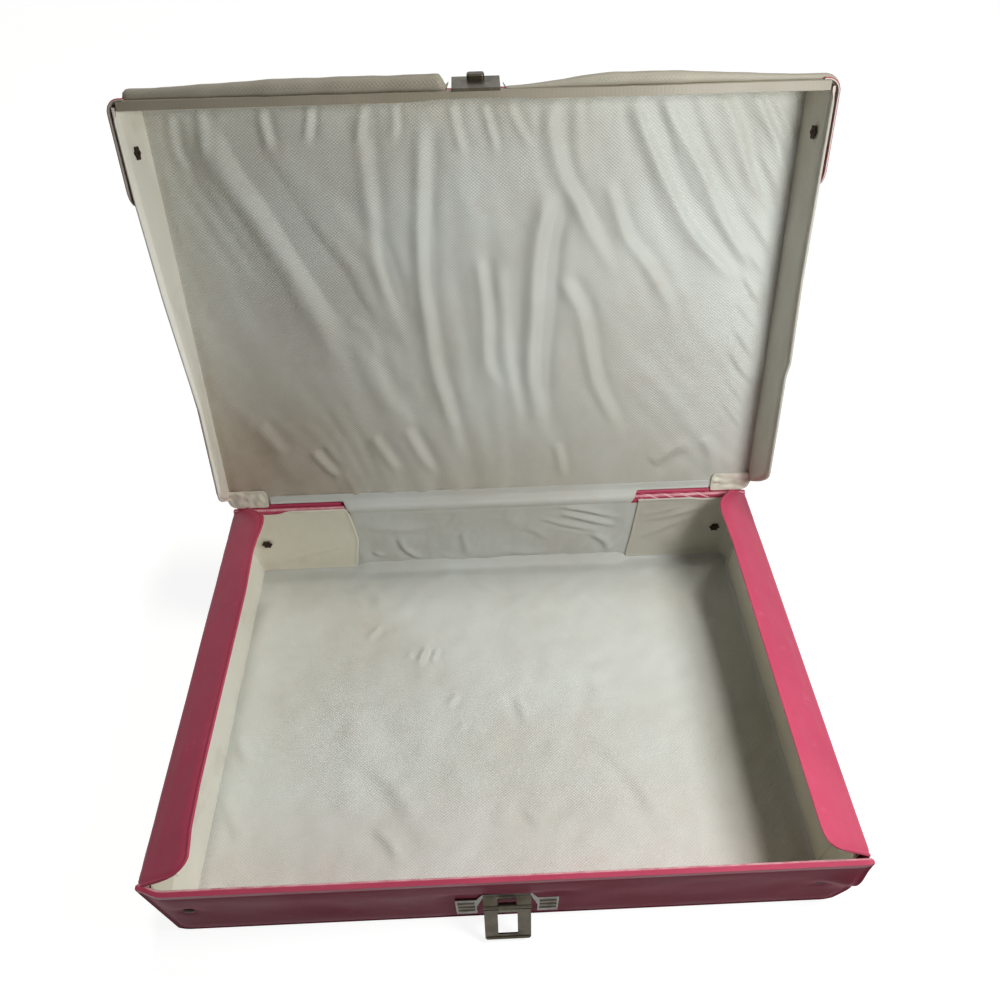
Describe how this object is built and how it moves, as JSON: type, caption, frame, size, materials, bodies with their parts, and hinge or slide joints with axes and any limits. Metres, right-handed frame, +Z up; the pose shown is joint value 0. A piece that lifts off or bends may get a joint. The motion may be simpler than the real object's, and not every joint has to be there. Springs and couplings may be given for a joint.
{
  "type": "doll clothing case",
  "caption": "Shallow vinyl-covered case with an overlapping hinged lid, soft inner side flaps, riveted corner tabs and a hasp latch on the front.",
  "frame": {"origin": "centre of the case's underside, on the surface it stands on", "axes": "+X to the right along the case's width as seen from the latch, +Y towards the hinge at the back, +Z up"},
  "size_m": [0.3706, 0.3393, 0.326],
  "materials": {
    "pink_vinyl": "pink embossed vinyl sheet, semi-gloss, welded at its edges",
    "lining_vinyl": "off-white vinyl lining with a fine embossed pattern",
    "board": "grey-brown chipboard stiffener",
    "nickel": "nickel-plated steel, slightly tarnished"
  },
  "bodies": {
    "base": {"base_bottom_cover": "pink_vinyl", "base_bottom_board": "board", "base_floor_lining": "lining_vinyl", "base_front_cover": "pink_vinyl", "base_front_board": "board", "base_front_lining": "lining_vinyl", "base_back_cover": "pink_vinyl", "base_back_board": "board", "base_back_lining": "lining_vinyl", "base_left_cover": "pink_vinyl", "base_left_board": "board", "base_left_lining": "lining_vinyl", "base_right_cover": "pink_vinyl", "base_right_board": "board", "base_right_lining": "lining_vinyl", "corner_tab_front_left": "lining_vinyl", "corner_rivet_front_left": "nickel", "corner_tab_front_right": "lining_vinyl", "corner_rivet_front_right": "nickel", "corner_tab_back_left": "lining_vinyl", "corner_rivet_back_left": "nickel", "corner_tab_back_right": "lining_vinyl", "corner_rivet_back_right": "nickel", "hinge_strip": "lining_vinyl", "latch_plate": "nickel"},
    "lid": {"lid_panel_cover": "pink_vinyl", "lid_panel_board": "board", "lid_panel_lining": "lining_vinyl", "lid_front_cover": "pink_vinyl", "lid_front_board": "board", "lid_front_lining": "lining_vinyl", "lid_left_cover": "pink_vinyl", "lid_left_board": "board", "lid_left_lining": "lining_vinyl", "lid_right_cover": "pink_vinyl", "lid_right_board": "board", "lid_right_lining": "lining_vinyl", "lid_tab_left": "pink_vinyl", "lid_rivet_left": "nickel", "lid_end_tab_left": "lining_vinyl", "lid_lip_left": "lining_vinyl", "lid_tab_right": "pink_vinyl", "lid_rivet_right": "nickel", "lid_end_tab_right": "lining_vinyl", "lid_lip_right": "lining_vinyl", "keeper": "nickel"},
    "flap_left": {"flap_left_cover": "pink_vinyl", "flap_left_board": "board", "flap_left_lining": "lining_vinyl"},
    "flap_right": {"flap_right_cover": "pink_vinyl", "flap_right_board": "board", "flap_right_lining": "lining_vinyl"},
    "hasp": {"hasp": "nickel"}
  },
  "joints": [
    {"name": "lid_hinge", "type": "hinge", "parent": "base", "child": "lid", "pos_m": [0, 0.124, 0.0709], "axis": [-1, 0, 0], "range_deg": [-107.4, 72.6]},
    {"name": "flap_left_fold", "type": "hinge", "parent": "base", "child": "flap_left", "pos_m": [-0.1774, 0, 0.0665], "axis": [0, -1, 0], "range_deg": [-30, 20.29]},
    {"name": "flap_right_fold", "type": "hinge", "parent": "base", "child": "flap_right", "pos_m": [0.1774, 0, 0.0665], "axis": [0, 1, 0], "range_deg": [-30, 20.29]},
    {"name": "hasp_hinge", "type": "hinge", "parent": "base", "child": "hasp", "pos_m": [0, -0.127, 0.0295], "axis": [-1, 0, 0], "range_deg": [-18, 143]}
  ],
  "couplings": [
    {"joint": "flap_left_fold", "follows": "lid_hinge", "ratio": 0.27933},
    {"joint": "flap_right_fold", "follows": "lid_hinge", "ratio": 0.27933}
  ]
}
